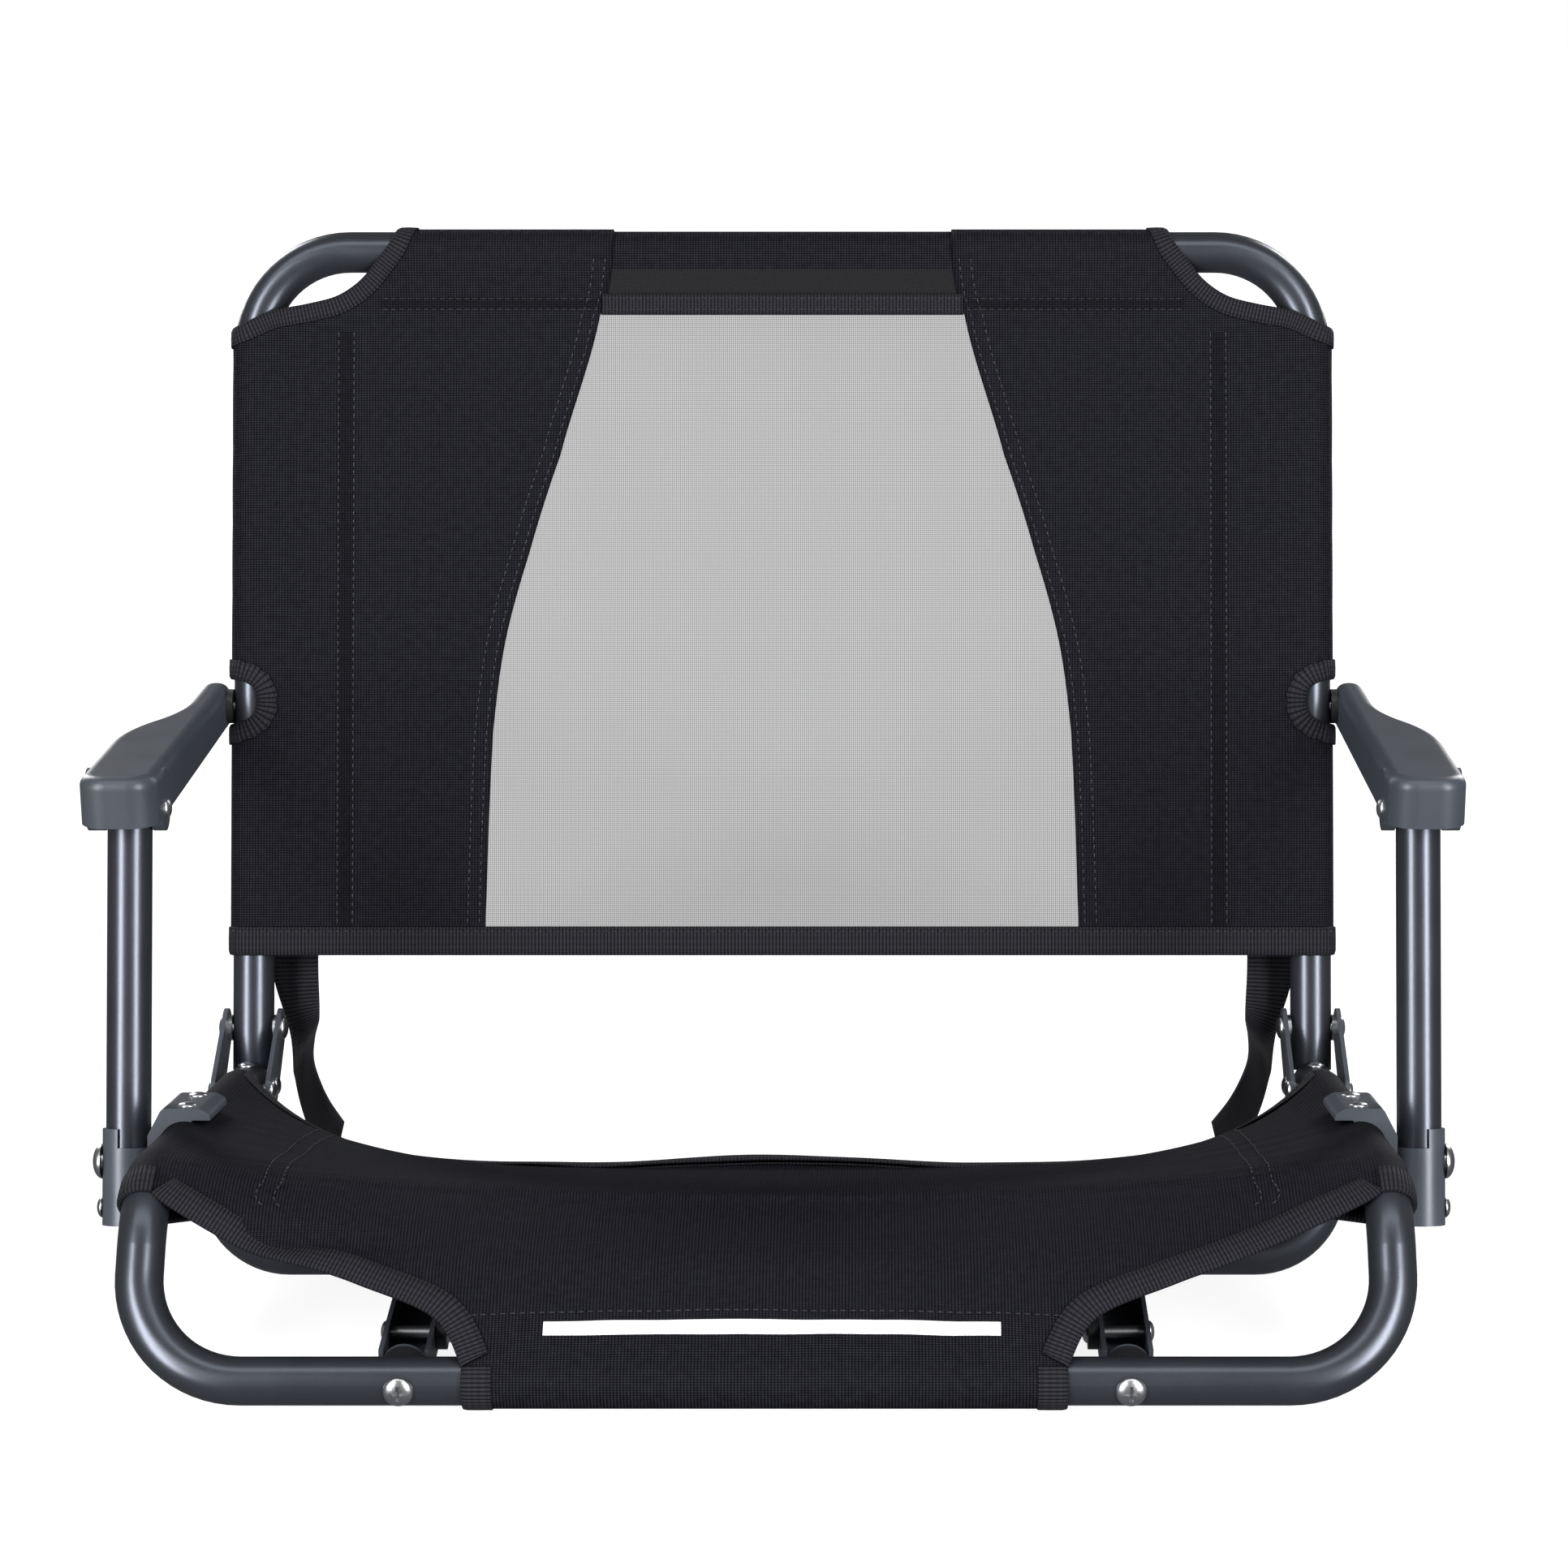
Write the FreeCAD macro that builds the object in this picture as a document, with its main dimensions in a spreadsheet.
import FreeCAD, Part
import Sketcher
import math
import os
from FreeCAD import Placement, Rotation, Vector

# Folding stadium seat. The front bar stands at Y = 0 while a piece is drawn; each
# piece is then moved back so that the middle of the seat's depth stands on the origin.
# Lengths are in millimetres and angles in degrees.
SIZES = {
    "tube_diameter": 19, "tube_wall": 1.2, "frame_half": 246.5,
    "front_bend": 42, "leg_length": 78, "leg_angle": 52, "knee_bend": 40,
    "rail_end": 309, "rail_drop": 59.22,
    "hinge_past": 13.776, "hinge_rise": 23.9, "back_tail": 19.5,
    "back_length": 362.8, "recline": 18.65, "back_bend": 44,
    "link_length": 150, "arm_reach": 170, "arm_fall": 4,
    "loop_setback": 125.6, "loop_inset": 15.5, "loop_bend": 28.5, "loop_lean": 17, "loop_rise": 31,
    "tang_thick": 3, "tang_radius": 6.5, "tang_gap": 1.8, "tang_neck": 4, "tang_hold": 1.2, "tang_slant": 40.5,
    "fabric_gap": 0.3, "fabric_thick": 1, "sheet_lift": 0.2, "sheet_inset": 2, "sleeve_slack": 2,
    "ear_gap": 2, "ear_thick": 2, "ear_top": 9, "ear_foot": 8,
    "ear_rivet_near": 300.5, "ear_rivet_far": 288,
    "pin_radius": 3, "pin_head": 5.5, "pin_head_high": 2.5, "pin_play": 0.1,
    "rivet_radius": 2.4, "rivet_head": 4.5, "rivet_head_high": 2.3, "rear_rivet_head": 3.6,
    "run_gap": 0.3, "seat_gap": 0.05,
    "saddle_bore": 11.1, "saddle_wall": 15.5, "saddle_drop": 18, "saddle_shoulder": 5,
    "saddle_pad": 9.5, "saddle_top": 16.5, "saddle_pad_in": 6.5, "saddle_edge": 10.8,
    "saddle_bevel": 14, "saddle_hem": 11.5, "saddle_step": 3, "saddle_lip": 3.5, "saddle_length": 44, "saddle_round": 3,
    "saddle_screw_pitch": 27, "screw_radius": 2, "screw_head": 4, "screw_slot": 0.9,
    "screw_crown": 1.6, "screw_reach": 11.5,
    "sling_screw_place": 299, "sling_screw_reach": 5.5,
    "post_gap": 28, "post_tail": 27, "post_top": 10, "post_bolt": 4, "post_bolt_head": 7.5,
    "post_bolt_high": 4, "post_bolt_crown": 4.5, "sleeve_wall": 1.4, "sleeve_high": 41,
    "sleeve_low_side": 33, "small_rivet_place": 7.5, "washer_radius": 9.5,
    "plug_radius": 8.2, "plug_deep": 6, "cap_high": 2, "foot_deep": 11, "cap_thin": 1.6, "foot_wide": 14,
    "arm_gap": 12.5, "arm_rear_wide": 13, "arm_front_wide": 33, "arm_front": 178,
    "arm_rear": 388.5, "arm_swell_front": 255, "arm_swell_rear": 345, "arm_corner": 12,
    "arm_top_front": 201, "arm_top_rear": 184, "arm_thick_front": 22, "arm_thick_rear": 18,
    "arm_wall": 2.8, "arm_round": 5, "arm_ear_gap": 0.7, "arm_ear_radius": 9.5,
    "arm_washer": 8, "arm_bolt": 3, "arm_bolt_head": 5,
    "brace_place": 142, "brace_wide": 20, "brace_web": 1.8, "brace_low": 4, "brace_high": 14,
    "brace_front": 12.7, "brace_screw": 2.5, "brace_head": 6, "brace_head_high": 2.2,
    "brace_head_crown": 3, "nut_radius": 4.6, "nut_high": 4, "spacer_radius": 9,
    "hook_rod": 4, "hook_pivot_y": 40, "hook_pivot_z": 13, "hook_leg": 65, "hook_foot": 23,
    "hook_half": 127, "hook_bend": 9, "hook_eye": 7, "hook_eye_thick": 4,
    "sling_lift": 9.9, "sling_inset": 5, "sling_front_half": 120.6, "sling_rear": 284,
    "hem_height": 36, "notch_half": 18, "corner_side": 325, "corner_top": 176, "corner_deep": 199,
    "corner_low": 331,
    "seam_low": 137.6, "seam_middle": 116, "seam_middle_height": 222, "seam_high": 79,
    "strap_wide": 25, "strap_thick": 1.2, "strap_inset": 22.5, "strap_drift": 11, "strap_start": 58,
    "strap_turn": 60, "strap_leave": 20, "strap_low_back": 38, "strap_low_high": 24, "strap_end_back": 59,
    "strap_bend_high": 40, "strap_bend_low": 30,
}

doc = FreeCAD.newDocument("stadium_seat")
sheet = doc.addObject("Spreadsheet::Sheet", "sizes")
for row, (alias, number) in enumerate(SIZES.items(), start=1):
    sheet.set(f"A{row}", alias)
    sheet.set(f"B{row}", str(number))
    sheet.setAlias(f"B{row}", alias)
doc.recompute()


def size(alias):
    return float(sheet.get(alias))


def bind(target, **links):
    """Ties each named property of a feature to an expression on the sheet."""
    for name, expression in links.items():
        target.setExpression(name, expression)


tube_radius = size("tube_diameter") / 2
frame_half = size("frame_half")
post_x = frame_half + size("post_gap")
arm_in = frame_half + size("arm_gap")
tang_face = frame_half - tube_radius - size("tang_gap")
leg_angle = math.radians(size("leg_angle"))
knee_y = size("leg_length") * math.cos(leg_angle)
fabric_in = tube_radius + size("fabric_gap")
fabric_out = fabric_in + size("fabric_thick")
front_height = fabric_out
knee_z = front_height + size("leg_length") * math.sin(leg_angle)
rail_slope = math.degrees(math.atan2(size("rail_drop"), size("rail_end") - knee_y))
recline = math.radians(size("recline"))

ACROSS = Vector(1, 0, 0)
rail_way = Vector(0, math.cos(math.radians(rail_slope)), -math.sin(math.radians(rail_slope)))
rail_up = Vector(0, -rail_way.z, rail_way.y)
back_way = Vector(0, math.sin(recline), math.cos(recline))
back_front = Vector(0, -back_way.z, back_way.y)
rail_turn = Rotation(ACROSS, -rail_slope)
back_turn = Rotation(ACROSS, -size("recline"))
TO_X = Rotation(Vector(0, 1, 0), 90)
TO_Y = Rotation(ACROSS, -90)


def rail_point(y, x=frame_half):
    """Point on the straight rail's centre line at a given distance behind the front bar."""
    return Vector(x, y, knee_z + (y - knee_y) * rail_way.z / rail_way.y)


rail_tip = rail_point(size("rail_end"))
hinge = rail_tip + rail_way * size("hinge_past") + rail_up * size("hinge_rise")


def back_point(x, along, ahead=0.0):
    """Point in the back's own plane: across, up along the tubes, out of its front."""
    return Vector(x, hinge.y, hinge.z) + back_way * along + back_front * ahead


post_pivot = Vector(post_x, hinge.y - size("arm_reach"), hinge.z + size("arm_fall"))
arm_front_pivot = post_pivot + back_way * size("link_length")
arm_rear_pivot = back_point(frame_half, size("link_length"))

depth_front = -tube_radius - size("brace_head_crown")
depth_rear = back_point(0, size("back_length")).y + fabric_out
shift = Placement(Vector(0, -(depth_front + depth_rear) / 2, 0), Rotation())

nodes = []


def keep(piece, label):
    """Enters a finished sub-part in the list of files."""
    piece.Label = label
    nodes.append(piece)
    return piece


def placed(base, turn=Rotation()):
    return shift.multiply(Placement(base, turn))


def shaped(name, shape):
    """A sub-part whose form comes from Part's own sweeps and lofts."""
    piece = doc.addObject("Part::Feature", name)
    piece.Shape = shape
    piece.Placement = shift
    return piece


def mirrored(source):
    """The same piece on the other side of the seat."""
    twin = doc.addObject("Part::Mirroring", source.Name + "_twin")
    twin.Source = source
    twin.Normal = ACROSS
    return twin


def both_sides(label, pieces):
    """One sub-part of right-hand pieces and their mirror images."""
    group = doc.addObject("Part::Compound", label + "_group")
    group.Links = pieces + [mirrored(piece) for piece in pieces]
    return keep(group, label)


def left_and_right(label, piece):
    keep(piece, label + "_right")
    keep(mirrored(piece), label + "_left")


def cylinder(name, radius, height, base, turn=Rotation()):
    """Cylinder bound to two sheet expressions."""
    piece = doc.addObject("Part::Cylinder", name)
    bind(piece, Radius=radius, Height=height)
    piece.Placement = placed(base, turn)
    return piece


def box(name, length, width, height, base, turn=Rotation()):
    piece = doc.addObject("Part::Box", name)
    bind(piece, Length=length, Width=width, Height=height)
    piece.Placement = placed(base, turn)
    return piece


def cut(name, base, tool):
    piece = doc.addObject("Part::Cut", name)
    piece.Base = base
    piece.Tool = tool
    return piece


def fused(name, pieces):
    piece = doc.addObject("Part::MultiFuse", name)
    piece.Shapes = pieces
    return piece


def drilled(name, base, holes):
    """A piece with several bores taken out of it."""
    if len(holes) == 1:
        return cut(name, base, holes[0])
    return cut(name, base, fused(name + "_bores", holes))


def term_value(term):
    if term == 0:
        return 0.0
    sign = -1 if term.startswith("-") else 1
    return sign * size(term.lstrip("-"))


def term_expression(term):
    sign = "-" if term.startswith("-") else ""
    return sign + "sizes." + term.lstrip("-")


def outline(body, plane, corners):
    """Closed sketch whose corners are tied to sheet aliases, 0 meaning on the axis."""
    sketch = body.newObject("Sketcher::SketchObject", body.Name + "_outline")
    origin = [feature for feature in body.Origin.OriginFeatures if feature.Role == plane][0]
    sketch.AttachmentSupport = (origin, [""])
    sketch.MapMode = "FlatFace"
    places = [Vector(term_value(across), term_value(up), 0) for across, up in corners]
    for start, end in zip(places, places[1:] + places[:1]):
        sketch.addGeometry(Part.LineSegment(start, end), False)
    count = len(corners)
    for line in range(count):
        sketch.addConstraint(Sketcher.Constraint("Coincident", line, 2, (line + 1) % count, 1))
    for line, (across, up) in enumerate(corners):
        if across == 0:
            sketch.addConstraint(Sketcher.Constraint("PointOnObject", line, 1, -2))
        else:
            tie = Sketcher.Constraint("DistanceX", -1, 1, line, 1, term_value(across))
            sketch.setExpression(f"Constraints[{sketch.addConstraint(tie)}]", term_expression(across))
        if up == 0:
            sketch.addConstraint(Sketcher.Constraint("PointOnObject", line, 1, -1))
        else:
            tie = Sketcher.Constraint("DistanceY", -1, 1, line, 1, term_value(up))
            sketch.setExpression(f"Constraints[{sketch.addConstraint(tie)}]", term_expression(up))
    return sketch


def pad_body(name, plane, corners, length, base, turn):
    """Outline pushed out evenly to both sides of its plane."""
    body = doc.addObject("PartDesign::Body", name)
    pad = body.newObject("PartDesign::Pad", name + "_pad")
    pad.Profile = outline(body, plane, corners)
    pad.Midplane = True
    bind(pad, Length=length)
    body.Placement = placed(base, turn)
    doc.recompute()
    return body, pad


def dome(name, radius, height, base, turn):
    """Half an ellipsoid standing on its flat face, as a rivet or screw head."""
    head = doc.addObject("Part::Ellipsoid", name)
    bind(head, Radius1=height, Radius2=radius, Radius3=radius)
    head.Angle1 = 0
    head.Placement = placed(base, turn)
    return head


BACKWARDS = Rotation(ACROSS, 180)


def rivet(name, base, turn, grip, shank="rivet_radius", head="rivet_head", high="rivet_head_high",
          far_head=True):
    """Shank with a domed head at its start and, as a rule, one at its end."""
    stem = doc.addObject("Part::Cylinder", name + "_stem")
    bind(stem, Radius="sizes." + shank)
    stem.Height = grip
    stem.Placement = placed(base, turn)
    solids = [stem, dome(name + "_head", "sizes." + head, "sizes." + high, base, turn * BACKWARDS)]
    if far_head:
        end = base + turn.multVec(Vector(0, 0, grip))
        solids.append(dome(name + "_tail", "sizes." + head, "sizes." + high, end, turn))
    return fused(name, solids)


def crossed(name, screw, top, turn, head, deep):
    """Cross recess pressed into the head of a screw whose outward way is local +Z."""
    slots = []
    for spin in (0, 90):
        slot = doc.addObject("Part::Box", f"{name}_slot_{spin}")
        bind(slot, Length=f"sizes.{head} * 1.1", Width=f"sizes.{head} * 0.24")
        slot.Height = 2 * deep
        half = Vector(-size(head) * 0.55, -size(head) * 0.12, -deep)
        way = turn * Rotation(Vector(0, 0, 1), spin)
        slot.Placement = placed(top + way.multVec(half), way)
        slots.append(slot)
    return cut(name, screw, fused(name + "_cross", slots))


def bent_wire(corners, bends):
    """Centre line of straights joined by arcs at the inner corners."""
    edges = []
    start = corners[0]
    for before, corner, after, bend in zip(corners, corners[1:], corners[2:], bends):
        back = (before - corner).normalize()
        ahead = (after - corner).normalize()
        half = back.getAngle(ahead) / 2
        reach = bend / math.tan(half)
        inward = (back + ahead).normalize()
        crown = corner + inward * (bend / math.sin(half) - bend)
        edges.append(Part.LineSegment(start, corner + back * reach).toShape())
        edges.append(Part.Arc(corner + back * reach, crown, corner + ahead * reach).toShape())
        start = corner + ahead * reach
    edges.append(Part.LineSegment(start, corners[-1]).toShape())
    return Part.Wire(edges)


def rod(wire, radius):
    """Round bar swept along a centre line."""
    first = wire.OrderedEdges[0]
    start = first.valueAt(first.FirstParameter)
    way = first.tangentAt(first.FirstParameter)
    ring = Part.Wire(Part.makeCircle(radius, start, way))
    return wire.makePipeShell([ring], True, False)


def tube(wire, radius, wall):
    return rod(wire, radius).cut(rod(wire, radius - wall))


def hole(base, way, radius, length):
    """Tool for a bore that is centred on a point."""
    return Part.makeCylinder(radius, length, base - way * (length / 2), way)


def flip(point):
    return Vector(-point.x, point.y, point.z)


def both(tools):
    return tools + [tool.mirror(Vector(0, 0, 0), ACROSS) for tool in tools]


def belt(x, circles):
    """Flat face round several circles (y, z, radius), listed counter-clockwise."""
    leaving = []
    for (y, z, r), (y2, z2, r2) in zip(circles, circles[1:] + circles[:1]):
        way = math.atan2(z2 - z, y2 - y)
        leaving.append(way - math.acos((r - r2) / math.hypot(y2 - y, z2 - z)))
    edges = []
    for index, (y, z, r) in enumerate(circles):
        begin = leaving[index - 1]
        end = leaving[index]
        while end < begin:
            end += 2 * math.pi
        rim = [Vector(x, y + r * math.cos(turn), z + r * math.sin(turn))
               for turn in (begin, (begin + end) / 2, end)]
        edges.append(Part.Arc(*rim).toShape())
        y2, z2, r2 = circles[(index + 1) % len(circles)]
        touch = Vector(x, y2 + r2 * math.cos(leaving[index]), z2 + r2 * math.sin(leaving[index]))
        edges.append(Part.LineSegment(rim[2], touch).toShape())
    return Part.Face(Part.Wire(edges))


# Places of the fasteners on the right-hand rail.
saddle_middle = rail_point(post_pivot.y)
saddle_screws = [saddle_middle + rail_way * (side * size("saddle_screw_pitch") / 2) for side in (-1, 1)]
ear_rivets = [rail_point(size("ear_rivet_near")), rail_point(size("ear_rivet_far"))]
sling_screw = rail_point(size("sling_screw_place"))
loop_way = Vector(0, math.sin(math.radians(size("loop_lean"))), math.cos(math.radians(size("loop_lean"))))
loop_corner = Vector(frame_half - size("loop_inset"), size("loop_setback"), tube_radius)
tang = loop_corner + loop_way * size("tang_slant")
tang_rivet = Vector(frame_half - tube_radius, tang.y, tang.z)
brace_screw = Vector(size("brace_place"), 0, front_height)
play = size("seat_gap")
run = size("run_gap")

# Seat frame: rails, front legs and front bar from one bent tube.
rail_corners = [rail_tip, Vector(frame_half, knee_y, knee_z), Vector(frame_half, 0, front_height)]
seat_path = bent_wire(rail_corners + [flip(point) for point in reversed(rail_corners)],
                      [size("knee_bend"), size("front_bend"), size("front_bend"), size("knee_bend")])
seat_bores = [hole(point + rail_up * tube_radius, rail_up, size("screw_radius") + play, 10)
              for point in saddle_screws + [sling_screw]]
seat_bores += [hole(point, ACROSS, size("rivet_radius") + play, 3 * tube_radius) for point in ear_rivets]
seat_bores.append(hole(tang_rivet, ACROSS, size("rivet_radius") + play, tube_radius))
seat_bores.append(hole(brace_screw, Vector(0, 1, 0), size("brace_screw") + play, 3 * tube_radius))
seat_tube = tube(seat_path, tube_radius, size("tube_wall")).cut(both(seat_bores))
keep(shaped("seat_frame", seat_tube), "seat_frame_tube")

# Base loop: floor bar whose ends rise to flat tangs on the inner faces of the rails.
loop_end = loop_corner + loop_way * size("loop_rise")
loop_path = bent_wire([loop_end, loop_corner, flip(loop_corner), flip(loop_end)],
                      [size("loop_bend"), size("loop_bend")])
neck = loop_corner + loop_way * (size("loop_rise") - size("tang_neck"))
tang_radius = size("tang_radius")
tang_plate = belt(tang_face - size("tang_thick"),
                  [(neck.y, neck.z, tang_radius), (tang.y, tang.z, tang_radius)])
tang_plate = tang_plate.extrude(ACROSS * size("tang_thick"))
loop_cap = Part.makeCylinder(tube_radius - size("tube_wall") / 2, size("tube_wall"),
                             loop_end - loop_way * size("tube_wall"), loop_way)
loop_solid = tube(loop_path, tube_radius, size("tube_wall")).fuse(both([tang_plate, loop_cap]))
brace_rear = Vector(size("brace_place"), size("loop_setback"), tube_radius)
loop_bores = [hole(tang, ACROSS, size("rivet_radius") + play, 3 * tube_radius),
              hole(brace_rear, Vector(0, 1, 0), size("rivet_radius") + play, 3 * tube_radius)]
keep(shaped("base_loop", loop_solid.cut(both(loop_bores))), "base_loop_tube")
tang_start = Vector(tang_face - size("tang_thick"), tang.y, tang.z)
blind_grip = frame_half - tube_radius + size("tube_wall") + size("tang_hold") - tang_start.x
both_sides("base_loop_rivets", [rivet("tang_rivet", tang_start, TO_X, blind_grip, far_head=False)])

# Hook braces: pressed channels between the front bar and the base loop.
brace_length = size("loop_setback") - tube_radius - play - size("brace_front")
brace_corner = Vector(size("brace_place") - size("brace_wide") / 2, size("brace_front"), size("brace_low"))
brace_outer = doc.addObject("Part::Box", "brace_outer")
bind(brace_outer, Length="sizes.brace_wide", Height="sizes.brace_high")
brace_outer.Width = brace_length
brace_outer.Placement = placed(brace_corner)
brace_inner = doc.addObject("Part::Box", "brace_inner")
bind(brace_inner, Length="sizes.brace_wide - 2 * sizes.brace_web", Height="sizes.brace_high")
brace_inner.Width = brace_length
web = size("brace_web")
brace_inner.Placement = placed(brace_corner + Vector(web, 0, web))
brace_front_face = Vector(size("brace_place"), size("brace_front"), front_height)
brace_rear_face = Vector(size("brace_place"), size("brace_front") + brace_length - web, tube_radius)
brace_tabs = [cylinder(f"brace_tab_{index}", "sizes.spacer_radius", "sizes.brace_web", face, TO_Y)
              for index, face in enumerate((brace_front_face, brace_rear_face))]
brace_blank = fused("brace_blank", [cut("brace_channel", brace_outer, brace_inner)] + brace_tabs)
hook_pivot = Vector(size("brace_place"), size("hook_pivot_y"), size("hook_pivot_z"))
brace_bores = [
    cylinder("brace_bore_front", "sizes.brace_screw + sizes.seat_gap", "3 * sizes.brace_web",
             brace_front_face - Vector(0, web, 0), TO_Y),
    cylinder("brace_bore_rear", "sizes.rivet_radius + sizes.seat_gap", "3 * sizes.brace_web",
             brace_rear_face - Vector(0, web, 0), TO_Y),
    cylinder("brace_bore_side", "sizes.rivet_radius + sizes.seat_gap", "2 * sizes.brace_wide",
             hook_pivot - ACROSS * size("brace_wide"), TO_X),
]
left_and_right("hook_brace", drilled("hook_brace", brace_blank, brace_bores))

# Screws, spacers and nuts that hold the braces to the front bar; rivets at their rear ends.
screw_start = Vector(size("brace_place"), -tube_radius, front_height)
nut_face = brace_front_face + Vector(0, web, 0)
brace_screw_plain = rivet("brace_screw_plain", screw_start, TO_Y,
                          nut_face.y + size("nut_high") + 1.5 - screw_start.y,
                          "brace_screw", "brace_head", "brace_head_crown", False)
screw_top = screw_start - Vector(0, size("brace_head_crown"), 0)
both_sides("hook_brace_screws", [crossed("brace_screw", brace_screw_plain, screw_top, TO_Y * BACKWARDS,
                                         "brace_head", 1.6)])
nut_blank = doc.addObject("Part::Prism", "nut_blank")
bind(nut_blank, Circumradius="sizes.nut_radius", Height="sizes.nut_high")
nut_blank.Polygon = 6
nut_blank.Placement = placed(nut_face, TO_Y)
nut_bore = cylinder("nut_bore", "sizes.brace_screw + sizes.seat_gap", "sizes.nut_high", nut_face, TO_Y)
both_sides("hook_brace_nuts", [cut("brace_nut", nut_blank, nut_bore)])
spacer_blank = cylinder("spacer_blank", "sizes.spacer_radius", "sizes.brace_front", brace_screw, TO_Y)
spacer_bores = [
    cylinder("spacer_seat", "sizes.tube_diameter / 2 + sizes.seat_gap", "6 * sizes.spacer_radius",
             brace_screw - ACROSS * (3 * size("spacer_radius")), TO_X),
    cylinder("spacer_bore", "sizes.brace_screw + sizes.seat_gap", "2 * sizes.brace_front",
             brace_screw, TO_Y),
]
both_sides("hook_brace_spacers", [drilled("brace_spacer", spacer_blank, spacer_bores)])
rear_grip = size("loop_setback") + tube_radius - brace_rear_face.y
both_sides("brace_rear_rivets", [rivet("brace_rear_rivet", brace_rear_face, TO_Y, rear_grip,
                                         head="rear_rivet_head")])

# Bench hook: rod bail that lies back between the braces and swings down in front of a plank.
eye_out = size("brace_place") - size("brace_wide") / 2 - run
eye_in = eye_out - size("hook_eye_thick")
hook_start = Vector(size("hook_half"), size("hook_pivot_y") + size("rivet_head") + 2 * run, size("hook_pivot_z"))
hook_knee = Vector(size("hook_half"), size("hook_pivot_y") + size("hook_leg"), size("hook_pivot_z"))
hook_foot = hook_knee + Vector(0, 0, size("hook_foot"))
hook_corners = [hook_start, hook_knee, hook_foot]
hook_path = bent_wire(hook_corners + [flip(point) for point in reversed(hook_corners)],
                      [size("hook_bend")] * 4)
eye_place = Vector(eye_in, hook_pivot.y, hook_pivot.z)
eye = Part.makeCylinder(size("hook_eye"), size("hook_eye_thick"), eye_place, ACROSS)
eye_bore = hole(eye_place, ACROSS, size("rivet_radius") + run, 5 * size("hook_eye_thick"))
keep(shaped("hook", rod(hook_path, size("hook_rod")).fuse(both([eye])).cut(both([eye_bore]))), "bench_hook")
pivot_start = eye_place - ACROSS * size("pin_play")
pivot_grip = size("brace_place") + size("brace_wide") / 2 - pivot_start.x
both_sides("hook_pivot_rivets", [rivet("hook_pivot", pivot_start, TO_X, pivot_grip)])

# Rear end plugs: a stub inside the rail, a cap and a flat sole on the floor.
plug_turn = rail_turn * TO_Y
plug_solids = [
    cylinder("plug_stub", "sizes.plug_radius", "sizes.plug_deep", rail_tip - rail_way * size("plug_deep"), plug_turn),
    cylinder("plug_cap", "sizes.tube_diameter / 2", "sizes.cap_high", rail_tip, plug_turn),
    box("plug_foot", "sizes.foot_wide", "sizes.foot_deep", "sizes.tube_diameter / 3",
        Vector(frame_half - size("foot_wide") / 2, rail_tip.y - 1, 0)),
]
both_sides("rail_end_plugs", [fused("rail_plug", plug_solids)])

# Hinge ears: a pair of plates on each rail, with the back tube between them.
ear_offset = tube_radius + size("ear_gap")
ear_circles = [(ear_rivets[1].y, ear_rivets[1].z, size("ear_foot")),
               (ear_rivets[0].y, ear_rivets[0].z, size("ear_foot")),
               (hinge.y, hinge.z, size("ear_top"))]
ear_bores = [hole(point, ACROSS, size("rivet_radius") + play, 6 * ear_offset) for point in ear_rivets]
ear_bores.append(hole(hinge, ACROSS, size("pin_radius") + run, 6 * ear_offset))
for label, x in (("outer", frame_half + ear_offset), ("inner", frame_half - ear_offset - size("ear_thick"))):
    plate = belt(x, ear_circles).extrude(ACROSS * size("ear_thick")).cut(ear_bores)
    left_and_right(f"hinge_ear_{label}", shaped(f"hinge_ear_{label}", plate))
ear_reach = ear_offset + size("ear_thick")
both_sides("ear_rail_rivets", [rivet(f"ear_rivet_{index}", point - ACROSS * ear_reach, TO_X, 2 * ear_reach)
                               for index, point in enumerate(ear_rivets)])
pin_reach = ear_reach + size("pin_play")
both_sides("hinge_pins", [rivet("hinge_pin", hinge - ACROSS * pin_reach, TO_X, 2 * pin_reach,
                                "pin_radius", "pin_head", "pin_head_high")])
spacers = []
for index, x in enumerate((frame_half + tube_radius, frame_half - ear_offset + size("pin_play"))):
    face = Vector(x, hinge.y, hinge.z)
    thick = "sizes.ear_gap - sizes.pin_play"
    spacers.append(cut(f"hinge_spacer_{index}",
                       cylinder(f"spacer_disc_{index}", "2 * sizes.pin_radius", thick, face, TO_X),
                       cylinder(f"spacer_hole_{index}", "sizes.pin_radius + sizes.seat_gap", thick, face, TO_X)))
both_sides("hinge_spacers", spacers)

# Saddles: moulded clips over the rails whose outer walls carry the arm posts.
saddle_corners = [("saddle_bore", "-saddle_drop"), ("saddle_wall", "-saddle_drop"),
                  ("saddle_wall", "saddle_shoulder"), ("saddle_pad", "saddle_top"),
                  ("-saddle_pad_in", "saddle_top"), ("-saddle_edge", "saddle_bevel"),
                  ("-saddle_edge", "saddle_hem"), ("-saddle_step", "saddle_hem"),
                  ("-saddle_step", "saddle_lip"), ("saddle_bore", "saddle_lip")]
saddle_body, saddle_pad = pad_body("saddle_body", "XZ_Plane", saddle_corners, "sizes.saddle_length",
                                   saddle_middle, rail_turn)
rounds = saddle_body.newObject("PartDesign::Fillet", "saddle_rounds")
upper_edges = [f"Edge{index}" for index, edge in enumerate(saddle_pad.Shape.Edges, start=1)
               if edge.CenterOfMass.z > size("saddle_shoulder") and edge.Length > 5
               and abs(edge.CenterOfMass.x) > 1 and edge.CenterOfMass.z > size("saddle_bevel") - 1]
upper_edges = [name for name in upper_edges
               if abs(saddle_pad.Shape.getElement(name).CenterOfMass.y) < 1]
rounds.Base = (saddle_pad, upper_edges)
bind(rounds, Radius="sizes.saddle_round")
bolt_place = Vector(saddle_middle.x, post_pivot.y, post_pivot.z)
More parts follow.
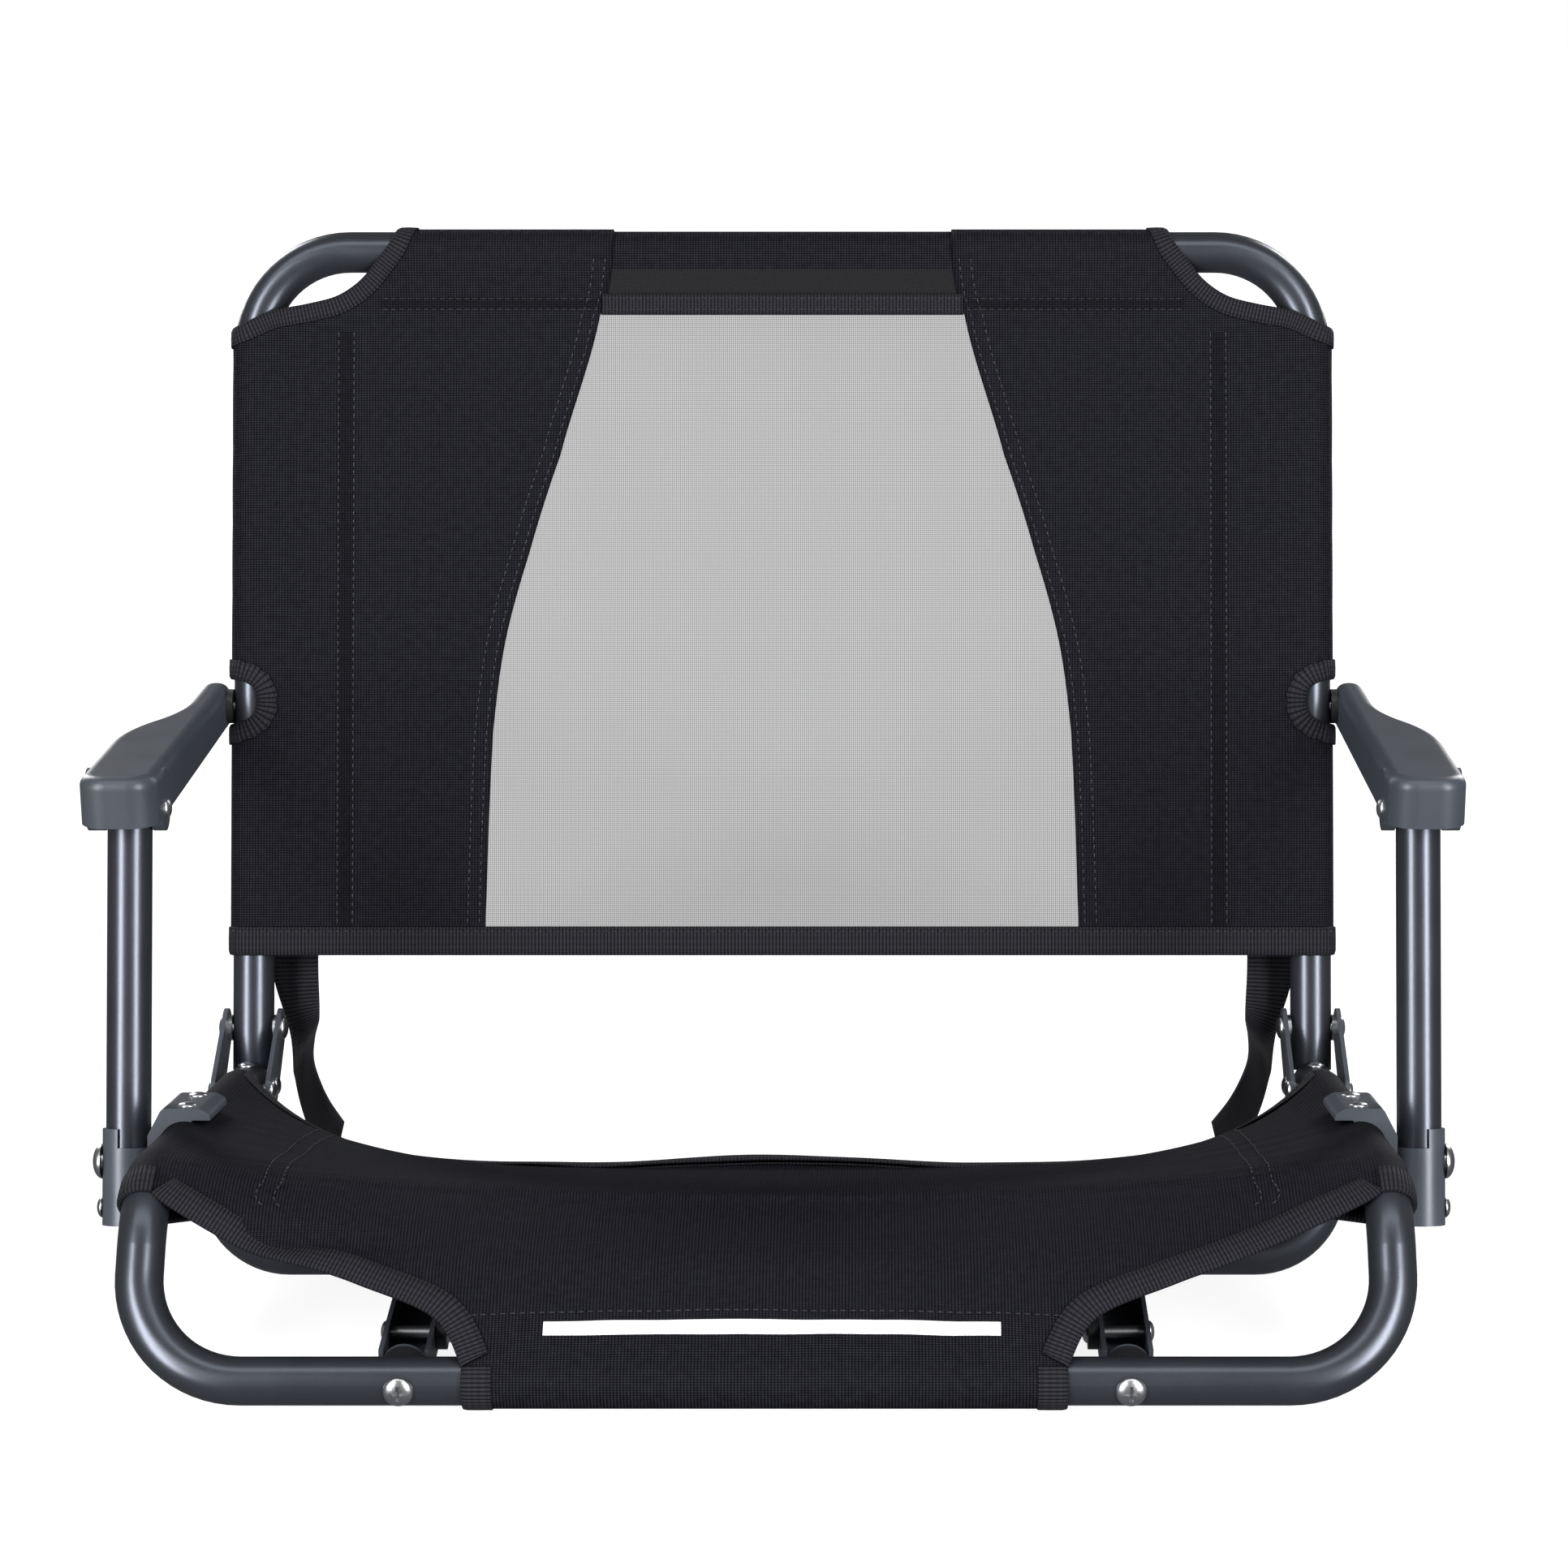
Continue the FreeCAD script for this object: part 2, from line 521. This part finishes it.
saddle_bores = [
    cylinder("saddle_rail_bore", "sizes.saddle_bore", "2 * sizes.saddle_length",
             saddle_middle - rail_way * size("saddle_length"), rail_turn * TO_Y),
    cylinder("saddle_bolt_bore", "sizes.post_bolt + sizes.seat_gap", "2 * sizes.saddle_wall",
             bolt_place, TO_X),
]
for index, point in enumerate(saddle_screws):
    saddle_bores.append(cylinder(f"saddle_screw_bore_{index}", "sizes.screw_radius + sizes.seat_gap",
                                 "2 * sizes.saddle_top", point, rail_turn))
left_and_right("saddle", drilled("saddle", saddle_body, saddle_bores))


def pan_screw(name, top, turn, reach):
    """Short cross-headed screw that enters the rail from above."""
    plain = rivet(name + "_plain", top, turn * BACKWARDS, reach, "screw_radius", "screw_head",
                  "screw_crown", False)
    crown = top + turn.multVec(Vector(0, 0, size("screw_crown")))
    return crossed(name, plain, crown, turn, "screw_head", size("screw_slot"))


both_sides("saddle_screws", [pan_screw(f"saddle_screw_{index}", point + rail_up * size("saddle_top"), rail_turn,
                                       size("screw_reach")) for index, point in enumerate(saddle_screws)])
both_sides("sling_screws", [pan_screw("sling_screw", sling_screw + rail_up * tube_radius, rail_turn,
                                      size("sling_screw_reach"))])

# Arm posts: straight tubes that lean like the back, shod with rolled steel sleeves.
post_foot = post_pivot - back_way * size("post_tail")
post_height = "sizes.post_tail + sizes.link_length + sizes.post_top"
post_tube = cut("post_tube", cylinder("post_skin", "sizes.tube_diameter / 2", post_height, post_foot, back_turn),
                cylinder("post_hollow", "sizes.tube_diameter / 2 - sizes.tube_wall", post_height, post_foot,
                         back_turn))
small_rivet = post_foot + back_way * size("small_rivet_place")
sleeve_radius = tube_radius + size("sleeve_wall") + play
wide = "6 * sizes.tube_diameter"


def post_bores(name, with_top):
    """Bores across a post for its pivot bolt, its small rivet and the armrest's rivet."""
    across = ACROSS * (3 * size("tube_diameter"))
    bores = [cylinder(name + "_pivot", "sizes.post_bolt + sizes.run_gap", wide, post_pivot - across, TO_X),
             cylinder(name + "_small", "sizes.rivet_radius + sizes.seat_gap", wide, small_rivet - across, TO_X)]
    if with_top:
        bores.append(cylinder(name + "_top", "sizes.rivet_radius + sizes.run_gap", wide,
                              arm_front_pivot - across, TO_X))
    return bores


left_and_right("arm_post", drilled("arm_post", post_tube, post_bores("post", True)))
sleeve_blank = cut("sleeve_blank",
                   cylinder("sleeve_skin", "sizes.tube_diameter / 2 + sizes.sleeve_wall + sizes.seat_gap",
                            "sizes.sleeve_high", post_foot, back_turn),
                   cylinder("sleeve_hollow", "sizes.tube_diameter / 2 + sizes.seat_gap", "sizes.sleeve_high",
                            post_foot, back_turn))
step_place = post_foot + back_way * size("sleeve_low_side")
step = box("sleeve_step", "sizes.tube_diameter", "2 * sizes.tube_diameter", "sizes.tube_diameter",
           step_place - ACROSS * (size("tube_diameter") - tube_radius * 0.3)
           - back_front * -size("tube_diameter"), back_turn)
left_and_right("post_sleeve", drilled("post_sleeve", sleeve_blank, post_bores("sleeve", False) + [step]))
left_and_right("post_sleeve_rivet", rivet("sleeve_rivet", small_rivet + ACROSS * sleeve_radius,
                                          TO_X * BACKWARDS, 2 * sleeve_radius, far_head=False))
bolt_end = Vector(saddle_middle.x + size("saddle_bore") + run, post_pivot.y, post_pivot.z)
bolt_grip = post_pivot.x + sleeve_radius + size("pin_play") - bolt_end.x
bolt_face = bolt_end + ACROSS * bolt_grip
both_sides("post_pivot_bolts", [rivet("post_bolt", bolt_face, TO_X * BACKWARDS, bolt_grip, "post_bolt",
                                      "post_bolt_head", "post_bolt_high", False)])
washer_face = Vector(saddle_middle.x + size("saddle_wall"), post_pivot.y, post_pivot.z)
washer_thick = post_pivot.x - sleeve_radius - washer_face.x - size("pin_play")
washer_disc = cylinder("washer_disc", "sizes.washer_radius", "1", washer_face, TO_X)
washer_bore = cylinder("washer_bore", "sizes.post_bolt + sizes.seat_gap", "1", washer_face, TO_X)
for disc in (washer_disc, washer_bore):
    disc.setExpression("Height", None)
    disc.Height = washer_thick
both_sides("post_washers", [cut("post_washer", washer_disc, washer_bore)])
post_head = post_pivot + back_way * (size("link_length") + size("post_top"))
left_and_right("post_top_plug", fused("post_plug", [
    cylinder("post_plug_stub", "sizes.plug_radius", "sizes.plug_deep / 2",
             post_head - back_way * (size("plug_deep") / 2), back_turn),
    cylinder("post_plug_cap", "sizes.tube_diameter / 2 - 0.2", "sizes.cap_thin", post_head, back_turn)]))

# Armrests: moulded shells, open below, broad in front and narrow where they meet the back.
arm_out_rear = arm_in + size("arm_rear_wide")
arm_out_front = arm_in + size("arm_front_wide")
swell_rear = size("arm_swell_rear")
swell_front = size("arm_swell_front")


def arm_plan(inset):
    """Outline of an armrest seen from above, drawn in by a wall thickness."""
    left = arm_in + inset
    rear_out = arm_out_rear - inset
    front_out = arm_out_front - inset
    front = size("arm_front") + inset
    corner = size("arm_corner") - inset
    tip = (rear_out - left) / 2
    rear = size("arm_rear") - inset
    half_run = (swell_rear - swell_front) / 2
    half_swell = (front_out - rear_out) / 2
    radius = (half_run ** 2 + half_swell ** 2) / (2 * half_swell)
    sweep = math.asin(half_run / radius) / 2
    bow = Vector(radius * (1 - math.cos(sweep)), radius * math.sin(sweep), 0)
    waist = Vector(rear_out + half_swell, swell_rear - half_run, 0)
    begin = Vector(rear_out, swell_rear, 0)
    end = Vector(front_out, swell_front, 0)
    slant = corner * (1 - math.sqrt(0.5))
    return Part.Wire([
        Part.LineSegment(Vector(left, front + corner, 0), Vector(left, rear - tip, 0)).toShape(),
        Part.Arc(Vector(left, rear - tip, 0), Vector(left + tip, rear, 0), Vector(rear_out, rear - tip, 0)).toShape(),
        Part.LineSegment(Vector(rear_out, rear - tip, 0), begin).toShape(),
        Part.Arc(begin, begin + Vector(bow.x, -bow.y, 0), waist).toShape(),
        Part.Arc(waist, end + Vector(-bow.x, bow.y, 0), end).toShape(),
        Part.LineSegment(end, Vector(front_out, front + corner, 0)).toShape(),
        Part.Arc(Vector(front_out, front + corner, 0), Vector(front_out - slant, front + slant, 0),
                 Vector(front_out - corner, front, 0)).toShape(),
        Part.LineSegment(Vector(front_out - corner, front, 0), Vector(left + corner, front, 0)).toShape(),
        Part.Arc(Vector(left + corner, front, 0), Vector(left + slant, front + slant, 0),
                 Vector(left, front + corner, 0)).toShape()])


def arm_side(lower, floor):
    """Side outline of an armrest, its top lowered by a wall thickness."""
    front = size("arm_front")
    rear = size("arm_rear")
    points = [Vector(0, front, size("arm_top_front") - size("arm_thick_front") - floor),
              Vector(0, rear, size("arm_top_rear") - size("arm_thick_rear") - floor),
              Vector(0, rear, size("arm_top_rear") - lower),
              Vector(0, front, size("arm_top_front") - lower)]
    return Part.Face(Part.makePolygon(points + points[:1])).extrude(ACROSS * (2 * arm_in))


def arm_block(inset, floor):
    plan = Part.Face(arm_plan(inset)).extrude(Vector(0, 0, 2 * size("arm_top_front")))
    return plan.common(arm_side(inset, floor))


arm_wall = size("arm_wall")
arm_solid = arm_block(0, 0)
top_face = max(arm_solid.Faces, key=lambda face: face.CenterOfMass.z)
arm_solid = arm_solid.makeFillet(size("arm_round"), top_face.Edges)
arm_shell = arm_solid.cut(arm_block(arm_wall, arm_wall))
ear_near = post_x - tube_radius - size("arm_ear_gap")
ear_far = post_x + tube_radius + size("arm_ear_gap")
ear_radius = size("arm_ear_radius")
ear_face = belt(arm_in, [(arm_front_pivot.y, arm_front_pivot.z, ear_radius),
                         (arm_front_pivot.y, size("arm_top_front") - 1.4 * ear_radius, ear_radius)])
ear_inner = ear_face.extrude(ACROSS * (ear_near - arm_in))
ear_outer = ear_face.translated(Vector(ear_far - arm_in, 0, 0)).extrude(ACROSS * (arm_out_front - ear_far))
arm_bores = [hole(arm_front_pivot, ACROSS, size("rivet_radius") + play, 5 * size("arm_front_wide")),
             hole(Vector(arm_in, arm_rear_pivot.y, arm_rear_pivot.z), ACROSS, size("arm_bolt") + run,
                  2 * arm_wall + 4)]
arm_shell = arm_shell.fuse([ear_inner, ear_outer]).removeSplitter().cut(arm_bores)
left_and_right("armrest", shaped("armrest", arm_shell))
arm_rivet_start = Vector(arm_in, arm_front_pivot.y, arm_front_pivot.z)
left_and_right("arm_front_rivet", rivet("arm_front_rivet", arm_rivet_start, TO_X, arm_out_front - arm_in))

# Bolts and washers between the armrests and the back frame.
arm_bolt_face = Vector(arm_in + arm_wall + size("pin_play"), arm_rear_pivot.y, arm_rear_pivot.z)
arm_bolt_grip = arm_bolt_face.x - (frame_half - tube_radius)
both_sides("arm_pivot_bolts", [rivet("arm_bolt", arm_bolt_face, TO_X * BACKWARDS, arm_bolt_grip, "arm_bolt",
                                     "arm_bolt_head", "rivet_head_high")])
arm_washer_face = Vector(frame_half + tube_radius, arm_rear_pivot.y, arm_rear_pivot.z)
arm_washer = cylinder("arm_washer_disc", "sizes.arm_washer",
                      "sizes.arm_gap - sizes.tube_diameter / 2 - sizes.pin_play",
                      arm_washer_face, TO_X)
arm_washer_bore = cylinder("arm_washer_bore", "sizes.arm_bolt + sizes.seat_gap", "sizes.tube_diameter",
                           arm_washer_face, TO_X)
both_sides("arm_pivot_washers", [cut("arm_washer", arm_washer, arm_washer_bore)])

# Back frame: one bent tube with plugged lower ends.
back_corners = [back_point(frame_half, -size("back_tail")), back_point(frame_half, size("back_length"))]
back_path = bent_wire(back_corners + [flip(point) for point in reversed(back_corners)],
                      [size("back_bend"), size("back_bend")])
back_bores = [hole(hinge, ACROSS, size("pin_radius") + play, 3 * tube_radius),
              hole(arm_rear_pivot, ACROSS, size("arm_bolt") + play, 3 * tube_radius)]
keep(shaped("back_frame", tube(back_path, tube_radius, size("tube_wall")).cut(both(back_bores))),
     "back_frame_tube")

# Seat sling: (half width, edge y, edge z, middle y, middle z) of its top face, front to rear.
rail_lift = rail_up * size("sling_lift")
sling_half = frame_half - size("sling_inset")


def hung(half, edge_y, edge_z, middle_y, middle_z):
    """Line of the sling in shares of its half width, the rail's reach and the knee's height."""
    reach = size("rail_end")
    return half * sling_half, edge_y * reach, edge_z * knee_z, middle_y * reach, middle_z * knee_z


def on_rail(y, middle_y, middle_z):
    """Line of the sling whose edges lie on the rails."""
    edge = rail_point(y) + rail_lift
    return sling_half, edge.y, edge.z, middle_y * size("rail_end"), middle_z * knee_z


front_top = front_height + fabric_out + size("sheet_lift")
deep = size("rail_end")
SLING = [
    (size("sling_front_half"), 0, front_top, 0, front_top + size("sheet_lift")),
    hung(0.621, 0.0449, 0.4567, 0.0513, 0.4636),
    hung(0.787, 0.0962, 0.7058, 0.1154, 0.6366),
    hung(0.890, 0.1218, 0.8303, 0.1603, 0.6781),
    hung(1.0, 0.1571, 1.0518, 0.2051, 0.7127),
    hung(1.0, 0.2048, 1.0790, 0.2436, 0.7279),
    on_rail(0.2436 * deep, 0.2821, 0.7335),
    on_rail(0.4006 * deep, 0.4006, 0.5397),
    on_rail(0.5449 * deep, 0.5288, 0.3598),
    on_rail(0.7372 * deep, 0.6250, 0.2353),
    on_rail(size("sling_rear") - size("sleeve_slack"), 0.6891, 0.1661),
]


def cloth_line(half, edge_y, edge_z, middle_y, middle_z):
    """Line across the seat on top of the cloth, hung from its two edges."""
    ends = [Vector(side * half, edge_y, edge_z) for side in (-1, 1)]
    return Part.Wire(Part.Arc(ends[0], Vector(0, middle_y, middle_z), ends[1]).toShape())


def sleeve_round(base, way, length):
    """Fabric tube round a straight stretch of frame."""
    skin = Part.makeCylinder(fabric_out, length, base, way)
    return skin.cut(Part.makeCylinder(fabric_in, length, base, way))


sling_top = Part.makeLoft([cloth_line(*strip) for strip in SLING], False, True)
sling_strips = [face.extrude(Vector(0, 0, -size("fabric_thick"))) for face in sling_top.Faces]
sling_web = sling_strips[0].fuse(sling_strips[1:])
leg_start = Vector(frame_half, 0, front_height) + Vector(0, math.cos(leg_angle), math.sin(leg_angle)) * 45
rail_wire = bent_wire([leg_start, Vector(frame_half, knee_y, knee_z), rail_point(size("sling_rear"))],
                      [size("knee_bend")])
rail_hollow = rod(rail_wire, fabric_in)
front_away = Part.makeBox(4 * fabric_out, knee_y, 2 * knee_z, Vector(frame_half - 2 * fabric_out, -1, 0))
rail_sleeve = rod(rail_wire, fabric_out).cut(rail_hollow).cut(front_away)
front_sleeve = sleeve_round(Vector(-size("sling_front_half"), 0, front_height), ACROSS,
                            2 * size("sling_front_half"))
sling_bores = [hole(point + rail_up * fabric_in, rail_up, size("screw_radius") + run, 8) for point in saddle_screws]
sling_bores += [hole(ear_rivets[1], ACROSS, size("rivet_radius") + run, 4 * tube_radius),
                hole(tang_rivet, ACROSS, size("rivet_radius") + run, tube_radius)]
ear_room = [(y, z, radius + run) for y, z, radius in ear_circles]
ear_slot = belt(frame_half - ear_reach - run, ear_room).extrude(ACROSS * (size("ear_thick") + 2 * run))
sling_solid = sling_web.fuse(both([rail_sleeve]) + [front_sleeve]).cut(both(sling_bores + [ear_slot]))
keep(shaped("sling", sling_solid), "seat_sling")

# Back fabric: sheets stretched over the front of the back frame and sleeves round its tubes.
hem = size("hem_height")
top_height = size("back_length")
seam_points = [(size("seam_high"), top_height), (size("seam_middle"), size("seam_middle_height")),
               (size("seam_low"), hem)]


def on_back(x, along):
    return back_point(x, along, fabric_in + size("sheet_lift"))


def back_line(start, end):
    return Part.LineSegment(on_back(*start), on_back(*end)).toShape()


def back_arc(start, middle, end):
    return Part.Arc(on_back(*start), on_back(*middle), on_back(*end)).toShape()


def seam(side):
    """The curved seam between mesh and side panel, from the top down."""
    high, middle, low = [(side * x, along) for x, along in seam_points]
    upper = ((high[0] + middle[0]) / 2 + side * 1.0, (high[1] + middle[1]) / 2)
    lower = ((middle[0] + low[0]) / 2 + side * 4.0, (middle[1] + low[1]) / 2)
    return [back_arc(high, upper, middle), back_arc(middle, lower, low)]


link = size("link_length")
notch = size("notch_half")
sheet_edge = frame_half - size("sheet_inset")
corner_side = (sheet_edge, size("corner_low"))
corner_top = (size("corner_top"), top_height)
corner_deep = (size("corner_deep"), (size("corner_low") + top_height) / 2)
panel_edges = seam(1) + [
    back_line((size("seam_low"), hem), (sheet_edge, hem)),
    back_line((sheet_edge, hem), (sheet_edge, link - notch)),
    back_arc((sheet_edge, link - notch), (sheet_edge - notch, link), (sheet_edge, link + notch)),
    back_line((sheet_edge, link + notch), corner_side),
    back_arc(corner_side, corner_deep, corner_top),
    back_line(corner_top, (size("seam_high"), top_height))]
panel_sheet = Part.Face(Part.Wire(Part.sortEdges(panel_edges)[0])).extrude(back_front * size("fabric_thick"))
straight_top = top_height - size("back_bend")
slack = size("sleeve_slack")
panel_sleeves = [
    sleeve_round(back_point(frame_half, hem), back_way, link - notch - hem - slack),
    sleeve_round(back_point(frame_half, link + notch + slack), back_way, straight_top - link - notch - slack),
    sleeve_round(back_point(size("seam_high"), top_height), ACROSS,
                 size("corner_top") - size("seam_high") - slack)]
left_and_right("back_panel", shaped("back_panel", panel_sheet.fuse(panel_sleeves)))
mesh_edges = seam(1) + seam(-1) + [
    back_line((size("seam_low"), hem), (-size("seam_low"), hem)),
    back_line((size("seam_high"), top_height), (-size("seam_high"), top_height))]
mesh_sheet = Part.Face(Part.Wire(Part.sortEdges(mesh_edges)[0])).extrude(back_front * size("fabric_thick"))
mesh_sleeve = sleeve_round(back_point(-size("seam_high"), top_height), ACROSS, 2 * size("seam_high"))
keep(shaped("mesh", mesh_sheet.fuse(mesh_sleeve)), "back_mesh")

# Carry straps: webbing sewn behind the lower hem, led under the rear edge of the sling.
strap_x = frame_half - size("strap_inset")
strap_drift = size("strap_drift")
half_wide = size("strap_wide") / 2
half_thick = size("strap_thick") / 2
strap_turn = math.radians(size("strap_turn"))
strap_reach = half_wide * math.sin(strap_turn) + half_thick
strap_behind = fabric_in - strap_reach - size("seat_gap")
strap_corners = [back_point(strap_x, size("strap_start"), strap_behind),
                 back_point(strap_x, size("strap_leave"), strap_behind),
                 Vector(strap_x - strap_drift, hinge.y - size("strap_low_back"), size("strap_low_high")),
                 Vector(strap_x - 2 * strap_drift, hinge.y - size("strap_end_back"), strap_reach)]
strap_wire = bent_wire(strap_corners, [size("strap_bend_high"), size("strap_bend_low")])
strap_flat = ACROSS * math.cos(strap_turn) + back_front * math.sin(strap_turn)
strap_out = back_front * math.cos(strap_turn) - ACROSS * math.sin(strap_turn)
strap_section = Part.makePolygon([strap_corners[0] + strap_flat * x + strap_out * out for x, out in
                                  ((-half_wide, -half_thick), (half_wide, -half_thick), (half_wide, half_thick),
                                   (-half_wide, half_thick), (-half_wide, -half_thick))])
left_and_right("carry_strap", shaped("carry_strap", strap_wire.makePipeShell([strap_section], True, False)))

doc.recompute()
for piece in doc.Objects:
    if "Invalid" in piece.State or "Error" in piece.State:
        raise RuntimeError(f"{piece.Name} did not build: {piece.State}")
for piece in nodes:
    if piece.Shape.isNull() or not piece.Shape.isValid():
        raise RuntimeError(f"{piece.Label} has no valid shape")
os.makedirs("parts", exist_ok=True)
for piece in nodes:
    piece.Shape.exportStep(f"parts/{piece.Label}.step")
    print(piece.Label, len(piece.Shape.Solids), round(piece.Shape.Volume))
